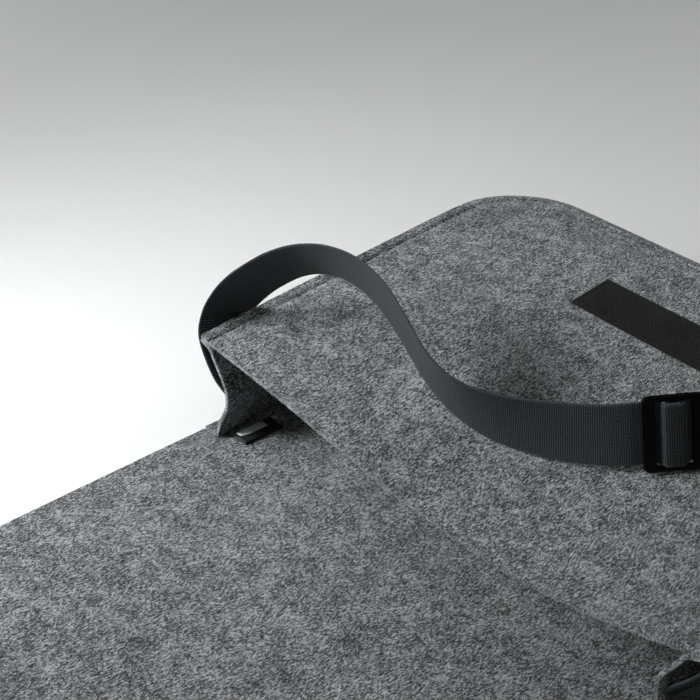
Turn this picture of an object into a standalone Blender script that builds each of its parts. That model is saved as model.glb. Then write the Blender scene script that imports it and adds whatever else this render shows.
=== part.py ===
"""Felt laptop bag with a fold-over flap, a gusset, a hook-and-loop closure and an
adjustable webbing strap.  Lies on its back panel, mouth towards -Y, flap opened flat.
Lengths in the constants are millimetres; the scene is in metres, +Z up."""
import bpy
import bmesh
import math
import numpy as np

MM = 0.001
FELT = 3.0            # felt thickness
GAP = 0.3             # clearance between separate pieces
LAP = 0.42            # clearance between the two sewn layers of a seam
HALF_W = 190.0        # gusset outer face, each side of centre
HALF_D = 140.0        # mouth and bottom seam, each side of centre
CORNER_R = 50.0       # rounded bottom corners at the seam
LIP = 7.4             # seam allowance outside the stitch line
MOUTH_IN = 0.5        # gusset and front panel stop this far inside the fold line
SPINE = 76.8          # flap's first panel, covers the mouth when closed
COVER = 250.0         # flap's second panel, lies over the front when closed
FLAP_HALF = 199.0
FLAP_R = 42.0         # corners of the flap's free edge
CREASE_LOW, CREASE_RISE = 74.0, 14.5
SAG = 25.5
BOW, BOW_MID, BOW_HALF, BOW_LEN = 15.2, 39.0, 35.0, 75.0
WEB_T, WEB_HALF = 1.4, 19.0
STRIP_HALF_L, STRIP_HALF_W, STRIP_T, STRIP_Y = 62.0, 17.5, 1.7, 70.5
THREAD_R = 0.35
SEWN_LOW, SEWN_TOP = 12.0, 36.0

# slider: origin at the middle of its left edge, heading, width and face directions
SL_O = np.array([72.53, -37.93, 91.82])
SL_H = np.array([0.63717, 0.76571, 0.08777])
SL_W = np.array([0.20677, -0.06012, -0.97654])
SL_H = SL_H / np.linalg.norm(SL_H)
SL_W = SL_W - SL_H * (SL_W @ SL_H)
SL_W = SL_W / np.linalg.norm(SL_W)
SL_N = -np.cross(SL_H, SL_W)
SL_LEN, SL_HALF, SL_T = 35.0, 22.8, 3.6
BAR, SLOT, MID_BAR = 7.5, 8.0, 4.5

# the two free webbing runs, as pairs of points on the upper and the lower edge
LEFT_RUN = (
    ((-188.0, -138.0, 48.1), (-188.8, -101.1, 44.0)),
    ((-200.6, -138.3, 69.5), (-197.8, -100.6, 65.1)),
    ((-203.0, -133.7, 85.7), (-201.8, -97.0, 75.7)),
    ((-199.8, -127.8, 98.7), (-195.0, -93.0, 84.0)),
    ((-193.2, -123.0, 110.3), (-187.8, -89.5, 92.9)),
    ((-184.0, -117.8, 120.6), (-179.6, -86.0, 100.1)),
    ((-168.6, -109.2, 134.2), (-166.1, -80.7, 109.1)),
    ((-150.6, -100.1, 144.1), (-150.8, -76.0, 114.6)),
    ((-129.8, -91.7, 148.5), (-133.8, -72.8, 115.8)),
    ((-107.3, -86.5, 146.6), (-115.6, -71.8, 112.5)),
    ((-84.8, -86.1, 138.8), (-96.8, -73.2, 105.1)),
    ((-63.7, -89.7, 127.3), (-77.6, -76.2, 94.6)),
    ((-43.7, -93.0, 115.6), (-57.4, -79.3, 82.9)),
    ((-24.3, -91.4, 107.1), (-35.6, -79.9, 72.7)),
    ((-5.6, -83.5, 103.1), (-12.4, -76.7, 66.3)),
    ((12.7, -72.2, 102.3), (11.2, -69.9, 64.3)),
    ((31.2, -60.5, 103.7), (34.5, -61.1, 65.8)),
    ((50.1, -49.1, 106.6), (56.5, -51.0, 69.1)),
)
RIGHT_RUN = (
    ((105.3, 21.6, 117.5), (117.0, 20.7, 81.3)),
    ((112.1, 29.9, 119.8), (124.8, 29.2, 83.9)),
    ((120.4, 35.8, 122.9), (133.6, 35.5, 87.2)),
    ((129.8, 38.4, 126.6), (143.3, 38.8, 91.0)),
    ((144.4, 35.0, 132.5), (158.3, 37.1, 97.1)),
    ((157.4, 24.0, 137.1), (171.7, 28.0, 102.1)),
    ((168.1, 8.1, 139.6), (182.8, 14.0, 105.0)),
    ((177.0, -10.9, 139.8), (191.7, -3.0, 105.6)),
    ((184.6, -31.5, 137.8), (198.9, -21.4, 104.1)),
    ((191.6, -52.9, 133.8), (205.1, -40.2, 100.7)),
    ((198.0, -74.4, 127.6), (210.6, -58.4, 95.6)),
    ((203.6, -95.9, 118.3), (215.5, -75.4, 88.6)),
    ((205.8, -109.7, 109.0), (216.4, -85.1, 82.1)),
    ((204.2, -121.1, 95.3), (209.8, -90.8, 73.3)),
    ((201.8, -131.0, 79.4), (202.2, -94.3, 68.0)),
    ((199.8, -135.5, 67.5), (198.0, -97.5, 59.0)),
    ((190.5, -137.0, 53.0), (190.8, -99.2, 46.5)),
)

# ------------------------------------------------------------------ scene
for o in list(bpy.data.objects):
    bpy.data.objects.remove(o, do_unlink=True)
scene = bpy.context.scene
scene.unit_settings.system = 'METRIC'
scene.unit_settings.scale_length = 1.0
PART = bpy.data.collections.new("felt_laptop_bag")
scene.collection.children.link(PART)
CUT = bpy.data.collections.new("cutters")
scene.collection.children.link(CUT)


def material(name, rgb, rough, metallic=0.0):
    m = bpy.data.materials.new(name)
    m.use_nodes = True
    b = m.node_tree.nodes["Principled BSDF"]
    b.inputs["Base Color"].default_value = (rgb[0], rgb[1], rgb[2], 1)
    b.inputs["Roughness"].default_value = rough
    b.inputs["Metallic"].default_value = metallic
    m.diffuse_color = (rgb[0], rgb[1], rgb[2], 1)
    return m


GREY = (0.20, 0.21, 0.215)


# ------------------------------------------------------------------ shape rules
def smooth(t):
    t = np.clip(t, 0, 1)
    return t * t * (3 - 2 * t)


def crease_z(y):
    """top of the front panel at its seam line"""
    t = np.clip((y + HALF_D) / 240.0, 0, 1.2)
    return CREASE_LOW + CREASE_RISE * (t - 0.5 * np.maximum(0, t - 0.8) ** 2 / 0.4)


def panel_top(x, y):
    """top of the front panel, sagging towards the middle of the mouth"""
    u = np.clip((x + HALF_W) / (2 * HALF_W), 0, 1)
    v = np.clip((y + HALF_D) / (2 * HALF_D), 0, 1)
    return crease_z(y) - SAG * np.sin(math.pi * u ** 1.4) * (1 - v) ** 1.25


def bow(y, z):
    """how far the gusset's side wall is pushed in, near the mouth"""
    fade = 1 - smooth((y + HALF_D) / BOW_LEN)
    t = np.clip((z - BOW_MID) / BOW_HALF, -1, 1)
    return fade * (BOW * np.cos(math.pi * t / 2) ** 2 + 5 * np.clip(1 - z / 40.0, 0, 1))


def lip_tilt(y, along_bottom):
    """slope of the front seam's lip: up near the mouth, down at the bottom"""
    if along_bottom:
        return math.radians(-12)
    return math.radians(20 - 8 * float(smooth((y + 40) / 110)) - 24 * float(smooth((y - 60) / 80)))


ARC = CORNER_R * math.pi / 2
SIDE = 2 * HALF_D - CORNER_R - MOUTH_IN
BACK = 2 * (HALF_W - CORNER_R)
TOTAL = 2 * SIDE + 2 * ARC + BACK


def seam(s):
    """point and outward direction on the U-shaped seam, s from the left mouth end"""
    if s > TOTAL / 2:
        x, y, nx, ny = seam(TOTAL - s)
        return -x, y, -nx, ny
    if s <= SIDE:
        return -HALF_W, -HALF_D + MOUTH_IN + s, -1.0, 0.0
    if s <= SIDE + ARC:
        a = (s - SIDE) / CORNER_R
        cx, cy = -HALF_W + CORNER_R, HALF_D - CORNER_R
        return cx - CORNER_R * math.cos(a), cy + CORNER_R * math.sin(a), -math.cos(a), math.sin(a)
    return -HALF_W + CORNER_R + (s - SIDE - ARC), HALF_D, 0.0, 1.0


def seam_stations(side_n, arc_n, back_n):
    left = [SIDE * (i / side_n) ** 1.35 for i in range(side_n)]
    arc = [SIDE + ARC * i / arc_n for i in range(arc_n)]
    half = [SIDE + ARC + BACK / 2 * i / back_n for i in range(back_n + 1)]
    first = left + arc + half
    return first + [TOTAL - s for s in reversed(first[:-1])]


# ------------------------------------------------------------------ builders
def new_object(name, bm, mat, origin=(0, 0, 0)):
    bmesh.ops.recalc_face_normals(bm, faces=bm.faces)
    me = bpy.data.meshes.new(name)
    off = np.array(origin, float)
    for v in bm.verts:
        v.co = [(v.co[k] - off[k]) * MM for k in range(3)]
    bm.to_mesh(me)
    bm.free()
    ob = bpy.data.objects.new(name, me)
    ob.location = [c * MM for c in off]
    me.materials.append(mat)
    PART.objects.link(ob)
    return ob


def add_grid(bm, rows):
    """quads between successive sections of equal length"""
    vs = [[bm.verts.new(tuple(float(c) for c in p)) for p in row] for row in rows]
    for a, b in zip(vs[:-1], vs[1:]):
        for i in range(len(a) - 1):
            bm.faces.new((a[i], a[i + 1], b[i + 1], b[i]))
    return vs


def weld(bm):
    bmesh.ops.remove_doubles(bm, verts=bm.verts, dist=0.00005)


def thicken(ob, t):
    m = ob.modifiers.new("thickness", 'SOLIDIFY')
    m.thickness = t * MM
    m.offset = 0.0
    m.use_even_offset = True
    m.use_rim = True
    return ob


def sheet(name, rows, t, mat):
    bm = bmesh.new()
    add_grid(bm, rows)
    weld(bm)
    return thicken(new_object(name, bm, mat), t)


def plate(name, outline, z0, z1, mat, origin=(0, 0, 0)):
    """flat plate from an outline"""
    bm = bmesh.new()
    f = bm.faces.new([bm.verts.new((float(x), float(y), z0)) for x, y in outline])
    ext = bmesh.ops.extrude_face_region(bm, geom=[f])
    for v in [g for g in ext["geom"] if isinstance(g, bmesh.types.BMVert)]:
        v.co.z = z1
    return new_object(name, bm, mat, origin)


def rod(name, pts, mat, r=THREAD_R, sides=4, closed=False, origin=(0, 0, 0), up=(0, 0, 1)):
    """thread swept along points"""
    P = np.array(pts, float)
    n = len(P)
    bm = bmesh.new()
    rings = []
    U = np.broadcast_to(np.array(up, float), P.shape)
    for i in range(n):
        if closed:
            t = P[(i + 1) % n] - P[i - 1]
        else:
            t = P[min(i + 1, n - 1)] - P[max(i - 1, 0)]
        t = t / np.linalg.norm(t)
        a = np.cross(t, U[i])
        a = a / np.linalg.norm(a)
        b = np.cross(a, t)
        ring = []
        for k in range(sides):
            q = 2 * math.pi * (k + 0.5) / sides
            ring.append(bm.verts.new(tuple(P[i] + r * (a * math.cos(q) + b * math.sin(q)))))
        rings.append(ring)
    m = n if closed else n - 1
    for i in range(m):
        a, b = rings[i], rings[(i + 1) % n]
        for k in range(sides):
            bm.faces.new((a[k], a[(k + 1) % sides], b[(k + 1) % sides], b[k]))
    if not closed:
        bm.faces.new(list(reversed(rings[0])))
        bm.faces.new(rings[-1])
    return new_object(name, bm, mat, origin)


def arc_pts(cx, cy, r, a0, a1, n):
    return [(cx + r * math.cos(a0 + (a1 - a0) * i / n), cy + r * math.sin(a0 + (a1 - a0) * i / n))
            for i in range(n + 1)]


def u_outline(extra, y_end):
    """outline of the back panel: U-shaped seam moved out by extra"""
    pts = []
    for s in seam_stations(1, 9, 1):
        x, y, nx, ny = seam(s)
        pts.append((x + nx * extra, y + ny * extra))
    pts[0] = (pts[0][0], y_end)
    pts[-1] = (pts[-1][0], y_end)
    return pts


# ------------------------------------------------------------------ felt pieces
HINGE_1 = (0.0, -HALF_D, FELT)
HINGE_2 = (0.0, -HALF_D - SPINE, FELT)

back_panel = plate("back_panel", u_outline(FLAP_HALF - HALF_W, -HALF_D + GAP / 2), 0, FELT,
                   material("felt_back", GREY, 0.95))

flap_spine = plate("flap_spine",
                   [(-FLAP_HALF, -HALF_D - SPINE + GAP / 2), (FLAP_HALF, -HALF_D - SPINE + GAP / 2),
                    (FLAP_HALF, -HALF_D - GAP / 2), (-FLAP_HALF, -HALF_D - GAP / 2)],
                   0, FELT, material("felt_flap_spine", GREY, 0.95), HINGE_1)

far = -HALF_D - SPINE - COVER
cover_outline = ([(FLAP_HALF, -HALF_D - SPINE - GAP / 2), (-FLAP_HALF, -HALF_D - SPINE - GAP / 2)]
                 + arc_pts(-FLAP_HALF + FLAP_R, far + FLAP_R, FLAP_R, math.pi, 1.5 * math.pi, 7)
                 + arc_pts(FLAP_HALF - FLAP_R, far + FLAP_R, FLAP_R, 1.5 * math.pi, 2 * math.pi, 7))
flap_cover = plate("flap_cover", cover_outline, 0, FELT, material("felt_flap_cover", GREY, 0.95), HINGE_2)


def row_half(y):
    if y <= HALF_D - CORNER_R:
        return HALF_W
    d = y - (HALF_D - CORNER_R)
    return HALF_W - CORNER_R + math.sqrt(max(0.0, CORNER_R ** 2 - d * d))


def lip_point(s, t, side):
    """middle of a lip layer, t outward from the seam; side +1 panel above, -1 gusset below"""
    x, y, nx, ny = seam(s)
    along = abs(ny) > 0.5
    a = lip_tilt(y, False) if not along else (1 - (abs(ny) - 0.5) * 2) * lip_tilt(y, False) + (abs(ny) - 0.5) * 2 * lip_tilt(y, True)
    half = (FELT + LAP) / 2
    root = crease_z(y) - FELT - LAP / 2
    na = a / 2 if t < 0.5 else a
    d = t * math.cos(a) - side * half * math.sin(na)
    z = root + t * math.sin(a) + side * half * math.cos(na)
    return (x + nx * d, y + ny * d, z)


def front_panel_rows(side_n, arc_n, across):
    ys = [-HALF_D + MOUTH_IN + SIDE * (i / side_n) ** 1.35 for i in range(side_n)]
    ys += [HALF_D - CORNER_R + CORNER_R * math.sin(math.pi / 2 * i / arc_n) for i in range(arc_n + 1)]
    rows = []
    for y in ys:
        h = row_half(y)
        row = []
        for k in range(across + 1):
            u = -1 + 2 * k / across
            u = u * (1.15 - 0.15 * u * u)
            x = u * h
            row.append((x, y, float(panel_top(x, y)) - FELT / 2))
        rows.append(row)
    return rows


SIDE_N, ARC_N, ACROSS = 10, 5, 14
bm = bmesh.new()
rows = front_panel_rows(SIDE_N, ARC_N, ACROSS)
add_grid(bm, rows)
boundary = [rows[i][0] for i in range(len(rows))] + [p for p in rows[-1][1:-1]] + [rows[i][-1] for i in reversed(range(len(rows)))]


def seam_param(x, y):
    """distance along the seam of a boundary point"""
    if y < HALF_D - CORNER_R + 1e-6:
        s = y + HALF_D - MOUTH_IN
        return s if x < 0 else TOTAL - s
    cx = HALF_W - CORNER_R
    if abs(x) > cx - 1e-6:
        a = math.atan2(y - (HALF_D - CORNER_R), abs(x) - cx)
        s = SIDE + CORNER_R * a
        return s if x < 0 else TOTAL - s
    return SIDE + ARC + (x + cx)


S_BOUND = [seam_param(p[0], p[1]) for p in boundary]
strip = []
for p, s in zip(boundary, S_BOUND):
    strip.append([p, lip_point(s, 1.6, 1), lip_point(s, LIP * 0.55, 1), lip_point(s, LIP, 1)])
add_grid(bm, strip)
weld(bm)
front_panel = thicken(new_object("front_panel", bm, material("felt_front", GREY, 0.95)), FELT)

WALL_Z0 = FELT + GAP + FELT / 2


def gusset_section(s):
    x, y, nx, ny = seam(s)
    zc = float(crease_z(y))
    inside = abs(nx) if abs(nx) > 0.999 else 0.0
    sec = []

    def at(d, z):
        return (x + nx * d, y + ny * d, z)

    def wall(z):
        return -FELT / 2 - (float(bow(y, z)) * inside)

    sec.append(at(LIP, WALL_Z0))
    sec.append(at(LIP * 0.45, WALL_Z0))
    sec.append(at(wall(6) + 2.6, WALL_Z0 + 0.1))
    sec.append(at(wall(8) + 0.4, WALL_Z0 + 1.9))
    top = zc - FELT - GAP - FELT / 2
    z0, z1 = 11.5, top - 5.5
    n = 7
    for k in range(n + 1):
        z = z0 + (z1 - z0) * k / n
        sec.append(at(wall(z), z))
    sec.append(at(wall(top - 2) - 0.0, top - 2.3))
    p = lip_point(s, 1.9, -1)
    sec.append(((x + nx * -0.1), (y + ny * -0.1), (top - 2.3) * 0.3 + p[2] * 0.7))
    sec.append(p)
    sec.append(lip_point(s, LIP * 0.55, -1))
    sec.append(lip_point(s, LIP, -1))
    return sec


gusset = sheet("gusset", [gusset_section(s) for s in seam_stations(11, 5, 4)], FELT,
               material("felt_gusset", GREY, 0.95))

# ------------------------------------------------------------------ closure strips
BLACK = (0.012, 0.013, 0.015)
rows = []
for j in range(5):
    y = STRIP_Y - STRIP_HALF_W + 2 * STRIP_HALF_W * j / 4
    rows.append([(x, y, float(panel_top(x, y)) + GAP + 0.1 + STRIP_T / 2)
                 for x in np.linspace(-STRIP_HALF_L, STRIP_HALF_L, 15)])
hook_strip = sheet("hook_strip", rows, STRIP_T, material("hook_tape", BLACK, 0.8))

LOOP_Y = -HALF_D - SPINE - 210.7
loop_strip = plate("loop_strip",
                   [(-STRIP_HALF_L, LOOP_Y - STRIP_HALF_W), (STRIP_HALF_L, LOOP_Y - STRIP_HALF_W),
                    (STRIP_HALF_L, LOOP_Y + STRIP_HALF_W), (-STRIP_HALF_L, LOOP_Y + STRIP_HALF_W)],
                   FELT + GAP, FELT + GAP + STRIP_T, material("loop_tape", BLACK, 0.9), HINGE_2)


def box_loop(hx, hy, nx, ny, r):
    """closed rectangle, as (x, y) offsets"""
    pts = [(-hx + 2 * hx * i / nx, -hy) for i in range(nx)]
    pts += [(hx, -hy + 2 * hy * i / ny) for i in range(ny)]
    pts += [(hx - 2 * hx * i / nx, hy) for i in range(nx)]
    pts += [(-hx, hy - 2 * hy * i / ny) for i in range(ny)]
    return pts


THREAD = (0.03, 0.032, 0.035)
pts = []
for dx, dy in box_loop(STRIP_HALF_L - 2.5, STRIP_HALF_W - 2.5, 14, 3, 0):
    x, y = dx, STRIP_Y + dy
    pts.append((x, y, float(panel_top(x, y)) + GAP + 0.1 + STRIP_T + GAP + 0.1 + THREAD_R))
hook_strip_thread = rod("hook_strip_thread", pts, material("thread_hook", THREAD, 0.7), closed=True)
pts = [(dx, LOOP_Y + dy, FELT + 2 * GAP + STRIP_T + THREAD_R)
       for dx, dy in box_loop(STRIP_HALF_L - 4.5, STRIP_HALF_W - 4.5, 8, 2, 0)]
loop_strip_thread = rod("loop_strip_thread", pts, material("thread_loop", THREAD, 0.7), closed=True, origin=HINGE_2)

# ------------------------------------------------------------------ seam threads
pts = []
for s in S_BOUND[1:-1]:
    a = np.array(lip_point(s, 2.4, 1))
    b = np.array(lip_point(s, 5.0, 1))
    x, y, nx, ny = seam(s)
    e = (b - a) / np.linalg.norm(b - a)
    o = np.array((nx, ny, 0.0))
    up = np.array((0, 0, 1.0))
    n = up - e * (e @ up)
    n = n / np.linalg.norm(n)
    pts.append(a + n * (FELT / 2 + GAP + 0.15 + THREAD_R))
front_seam_thread = rod("front_seam_thread", pts, material("thread_front", THREAD, 0.7))
pts = []
for s in seam_stations(5, 6, 2):
    x, y, nx, ny = seam(s)
    if s in (0, TOTAL):
        y += 2.0
    pts.append((x + nx * 4.6, y + ny * 4.6, WALL_Z0 + FELT / 2 + GAP + THREAD_R))
back_seam_thread = rod("back_seam_thread", pts, material("thread_back", THREAD, 0.7))

# ------------------------------------------------------------------ webbing
OFF_WEB = FELT / 2 + 0.85 + WEB_T / 2


def gusset_side(y, z, sign, off):
    """point off the outer face of the gusset's side wall, sign -1 left, +1 right"""
    def f(yy, zz):
        return HALF_W - FELT / 2 - float(bow(yy, zz))
    e = 0.5
    n = np.array([1.0, -(f(y + e, z) - f(y - e, z)) / (2 * e), -(f(y, z + e) - f(y, z - e)) / (2 * e)])
    n = n / np.linalg.norm(n)
    p = np.array([f(y, z), y, z]) + n * off
    p[0] *= sign
    return p


def spline(stations, per):
    """smooth path through stations (Catmull-Rom), per steps between neighbours"""
    S = np.array(stations, float)
    out = []
    n = len(S)
    for i in range(n - 1):
        p0, p1, p2, p3 = S[max(i - 1, 0)], S[i], S[i + 1], S[min(i + 2, n - 1)]
        steps = per if isinstance(per, int) else per[i]
        for k in range(steps):
            t = k / steps
            out.append(0.5 * ((2 * p1) + (-p0 + p2) * t + (2 * p0 - 5 * p1 + 4 * p2 - p3) * t * t
                              + (-p0 + 3 * p1 - 3 * p2 + p3) * t ** 3))
    out.append(S[-1])
    return out


def on_slider(h, n):
    c = SL_O + SL_H * h + SL_N * n
    return (c - SL_W * WEB_HALF, c + SL_W * WEB_HALF)


Y_TOP, Y_LOW = -135.5, -98.0      # webbing edges where it is sewn on
WEB_ACROSS = 4


def sewn(sign, z):
    return (gusset_side(Y_TOP, z, sign, OFF_WEB), gusset_side(Y_LOW, z, sign, OFF_WEB))


SEWN_Z = [SEWN_LOW + (SEWN_TOP - SEWN_LOW) * i / 4 for i in range(5)]
left_st = [sewn(-1, z) for z in SEWN_Z]
left_st += [(np.array(a), np.array(b)) for a, b in LEFT_RUN]
left_free = len(left_st)
BEHIND, FRONT = -(SL_T / 2 + 0.45 + WEB_T / 2), 1.2 + 0.3 + WEB_T + 0.35 + WEB_T / 2
for h, n in ((-8.5, BEHIND - 0.5), (-2, BEHIND), (4, BEHIND), (8.0, BEHIND)):
    left_st.append(on_slider(h, n))
slid = len(left_st)
for h, n in ((9.3, BEHIND + 1.1), (12.6, FRONT - 1.1), (14.0, FRONT), (21.5, FRONT), (22.9, FRONT - 1.1),
             (26.2, BEHIND + 1.1), (27.4, BEHIND), (34, BEHIND)):
    left_st.append(on_slider(h, n))


def offset_run(run, off):
    """run of edge pairs moved along its face direction"""
    out = []
    for i, (a, b) in enumerate(run):
        a, b = np.array(a), np.array(b)
        c = (a + b) / 2
        p = (np.array(run[max(i - 1, 0)][0]) + np.array(run[max(i - 1, 0)][1])) / 2
        q = (np.array(run[min(i + 1, len(run) - 1)][0]) + np.array(run[min(i + 1, len(run) - 1)][1])) / 2
        t = (q - p) / np.linalg.norm(q - p)
        w = (b - a) / np.linalg.norm(b - a)
        n = -np.cross(t, w)
        n = n / np.linalg.norm(n)
        out.append((a + n * off, b + n * off))
    return out


RETURN = BEHIND - WEB_T - 0.5
tail_run = offset_run([on_slider(40, RETURN), on_slider(50, RETURN)] + list(RIGHT_RUN[:5]), -RETURN + BEHIND)
left_st += tail_run[0:6]


def ribbon(name, stations, per, mat):
    A = spline([s[0] for s in stations], per)
    B = spline([s[1] for s in stations], per)
    rows = []
    for a, b in zip(A, B):
        c = (a + b) / 2
        w = (b - a) / np.linalg.norm(b - a)
        rows.append([c + w * WEB_HALF * (2 * k / WEB_ACROSS - 1) for k in range(WEB_ACROSS + 1)])
    return sheet(name, rows, WEB_T, mat)


WEB = (0.030, 0.033, 0.038)
per = [1] * 4 + [2] * (left_free - 5) + [1] * (len(left_st) - left_free)
strap_left = ribbon("strap_left", left_st, per, material("webbing_left", WEB, 0.75))

# right piece: its end is looped round the slider's middle bar and sewn to itself
right_st = [on_slider(h, n) for h, n in (
    (24.4, -2.6), (22.6, -2.5), (21.6, -1.5), (21.45, 0.0), (21.1, 1.4), (19.9, 2.25), (15.6, 2.25),
    (14.4, 1.4), (14.05, 0.0), (14.05, -2.9), (14.6, -4.2), (15.8, RETURN), (20.0, RETURN), (27.0, RETURN),
    (34.0, RETURN), (40.0, RETURN), (50.0, RETURN))]
loop_n = len(right_st)
right_st += [(np.array(a), np.array(b)) for a, b in RIGHT_RUN]
right_free = len(right_st)
right_st += [sewn(1, z) for z in reversed(SEWN_Z)]
per = [1] * (loop_n - 1) + [2] * (len(right_st) - loop_n - 4) + [1] * 4
strap_right = ribbon("strap_right", right_st, per, material("webbing_right", WEB, 0.75))


def sewn_thread(name, sign, mat):
    """box of stitches on the face of a sewn webbing end"""
    pts, ups = [], []
    zc, hz = (SEWN_LOW + 2.5 + SEWN_TOP - 5) / 2, (SEWN_TOP - 5 - SEWN_LOW - 2.5) / 2
    off = WEB_T / 2 + GAP + 0.15 + THREAD_R
    for dw, dz in box_loop(WEB_HALF - 2.5, hz, 8, 4, 0):
        a, b = sewn(sign, zc + dz)
        a2, b2 = sewn(sign, zc + dz + 0.5)
        c, w = (a + b) / 2, (b - a) / np.linalg.norm(b - a)
        c2, w2 = (a2 + b2) / 2, (b2 - a2) / np.linalg.norm(b2 - a2)
        p = c + w * dw
        n = np.cross(w, c2 + w2 * dw - p)
        n = n / np.linalg.norm(n)
        if n[0] * sign < 0:
            n = -n
        pts.append(p + n * off)
        ups.append(n)
    return rod(name, pts, mat, closed=True, up=ups)


strap_left_thread = sewn_thread("strap_left_thread", -1, material("thread_strap_left", THREAD, 0.7))
strap_right_thread = sewn_thread("strap_right_thread", 1, material("thread_strap_right", THREAD, 0.7))

# ------------------------------------------------------------------ slider
SL_C = SL_O + SL_H * SL_LEN / 2
lean = math.asin(SL_N[2])
TIP = math.pi / 2 - lean                      # turn that lays the slider flat
FLAT_Z = 80.5
e1 = np.array([SL_N[0], SL_N[1], 0.0])
e1 = e1 / np.linalg.norm(e1)
k11, k12 = math.cos(TIP) - 1, -math.sin(TIP)
det = k11 * k11 + k12 * k12
drop = FLAT_Z - SL_C[2]
arm = ((-k12) * drop / det, k11 * drop / det)   # centre relative to the axis, in (e1, z)
TIP_AXIS = SL_C - e1 * arm[0] - np.array([0, 0, 1.0]) * arm[1]


def slider_block(name, h0, h1, w0, w1, n0, n1, r, mat, coll, steps=4):
    """block with rounded corners in the slider's plane"""
    bmm = bmesh.new()
    hc, wc = (h0 + h1) / 2, (w0 + w1) / 2
    hh, hw = (h1 - h0) / 2, (w1 - w0) / 2
    ring = []
    if r > 0:
        for cx, cy, a0 in ((hh - r, hw - r, 0), (-hh + r, hw - r, math.pi / 2), (-hh + r, -hw + r, math.pi),
                           (hh - r, -hw + r, 1.5 * math.pi)):
            ring += arc_pts(cx, cy, r, a0, a0 + math.pi / 2, steps)
    else:
        ring = [(hh, hw), (-hh, hw), (-hh, -hw), (hh, -hw)]
    lo = [bmm.verts.new(tuple(SL_O + SL_H * (hc + a) + SL_W * (wc + b) + SL_N * n0)) for a, b in ring]
    hi = [bmm.verts.new(tuple(SL_O + SL_H * (hc + a) + SL_W * (wc + b) + SL_N * n1)) for a, b in ring]
    bmm.faces.new(lo)
    bmm.faces.new(list(reversed(hi)))
    for i in range(len(ring)):
        j = (i + 1) % len(ring)
        bmm.faces.new((lo[i], lo[j], hi[j], hi[i]))
    ob = new_object(name, bmm, mat, TIP_AXIS)
    if coll is CUT:
        PART.objects.unlink(ob)
        CUT.objects.link(ob)
        ob.hide_render = True
        ob.display_type = 'WIRE'
    return ob


plastic = material("black_plastic", (0.008, 0.008, 0.009), 0.35)
strap_slider = slider_block("strap_slider", 0, SL_LEN, -SL_HALF, SL_HALF, -SL_T / 2, SL_T / 2, 5.5, plastic, PART)
bev = strap_slider.modifiers.new("edge", 'BEVEL')
bev.width = 0.6 * MM
bev.segments = 2
bev.limit_method = 'ANGLE'
bev.angle_limit = math.radians(40)
cutter_mat = material("cutter", (0.8, 0.2, 0.2), 0.5)
h_a, h_b = BAR, BAR + SLOT
h_c, h_d = BAR + SLOT + MID_BAR, BAR + 2 * SLOT + MID_BAR
WIN = 19.6
for nm, a, b, n0, n1 in (("cut_slot_left", h_a, h_b, -5, 5), ("cut_slot_right", h_c, h_d, -5, 5),
                         ("cut_mid_front", h_b - 0.5, h_c + 0.5, 1.2, 5), ("cut_mid_back", h_b - 0.5, h_c + 0.5, -5, -1.2)):
    half = WIN if nm.startswith("cut_slot") else WIN - 0.3
    c = slider_block(nm, a, b, -half, half, n0, n1, 0, cutter_mat, CUT)
    bo = strap_slider.modifiers.new(nm, 'BOOLEAN')
    bo.operation = 'DIFFERENCE'
    bo.solver = 'EXACT'
    bo.object = c

pts = [SL_O + SL_H * 22.9 + SL_W * w + SL_N * (RETURN - WEB_T / 2 - GAP - 0.15 - THREAD_R) for w in np.linspace(-16, 16, 9)]
slider_loop_thread = rod("slider_loop_thread", pts, material("thread_loop_end", THREAD, 0.7), up=SL_N)

# ------------------------------------------------------------------ label
LX0, LX1, LY0, LY1 = -180.0, -165.5, -131.5, -102.0
lab = [(LY1, 4.0), ((LY0 + LY1) / 2, 4.0), (LY0 + 2, 4.0), (LY0 + 0.9, 4.2), (LY0 + 0.3, 4.75), (LY0 + 0.9, 5.3),
       (LY0 + 2, 5.5), ((LY0 + LY1) / 2, 5.5), (LY1, 5.5)]
label = sheet("label", [[(x, y, z) for x in (LX0, (LX0 + LX1) / 2, LX1)] for y, z in lab], 0.5,
              material("label_tape", (0.02, 0.02, 0.022), 0.7))
label_thread = rod("label_thread", [(x, LY1 - 2.5, 5.5 + 0.25 + GAP + THREAD_R) for x in np.linspace(LX0 + 1, LX1 - 1, 6)],
                   material("thread_label", THREAD, 0.7))

for ob in PART.objects:
    for p in ob.data.polygons:
        p.use_smooth = False
print("TIP axis mm", [round(float(c), 3) for c in TIP_AXIS], "dir", [round(float(-c), 5) for c in SL_H],
      "turn deg", round(math.degrees(TIP), 3))
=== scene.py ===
import math
import bpy
import bmesh
import numpy as np
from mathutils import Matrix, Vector, noise


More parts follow.
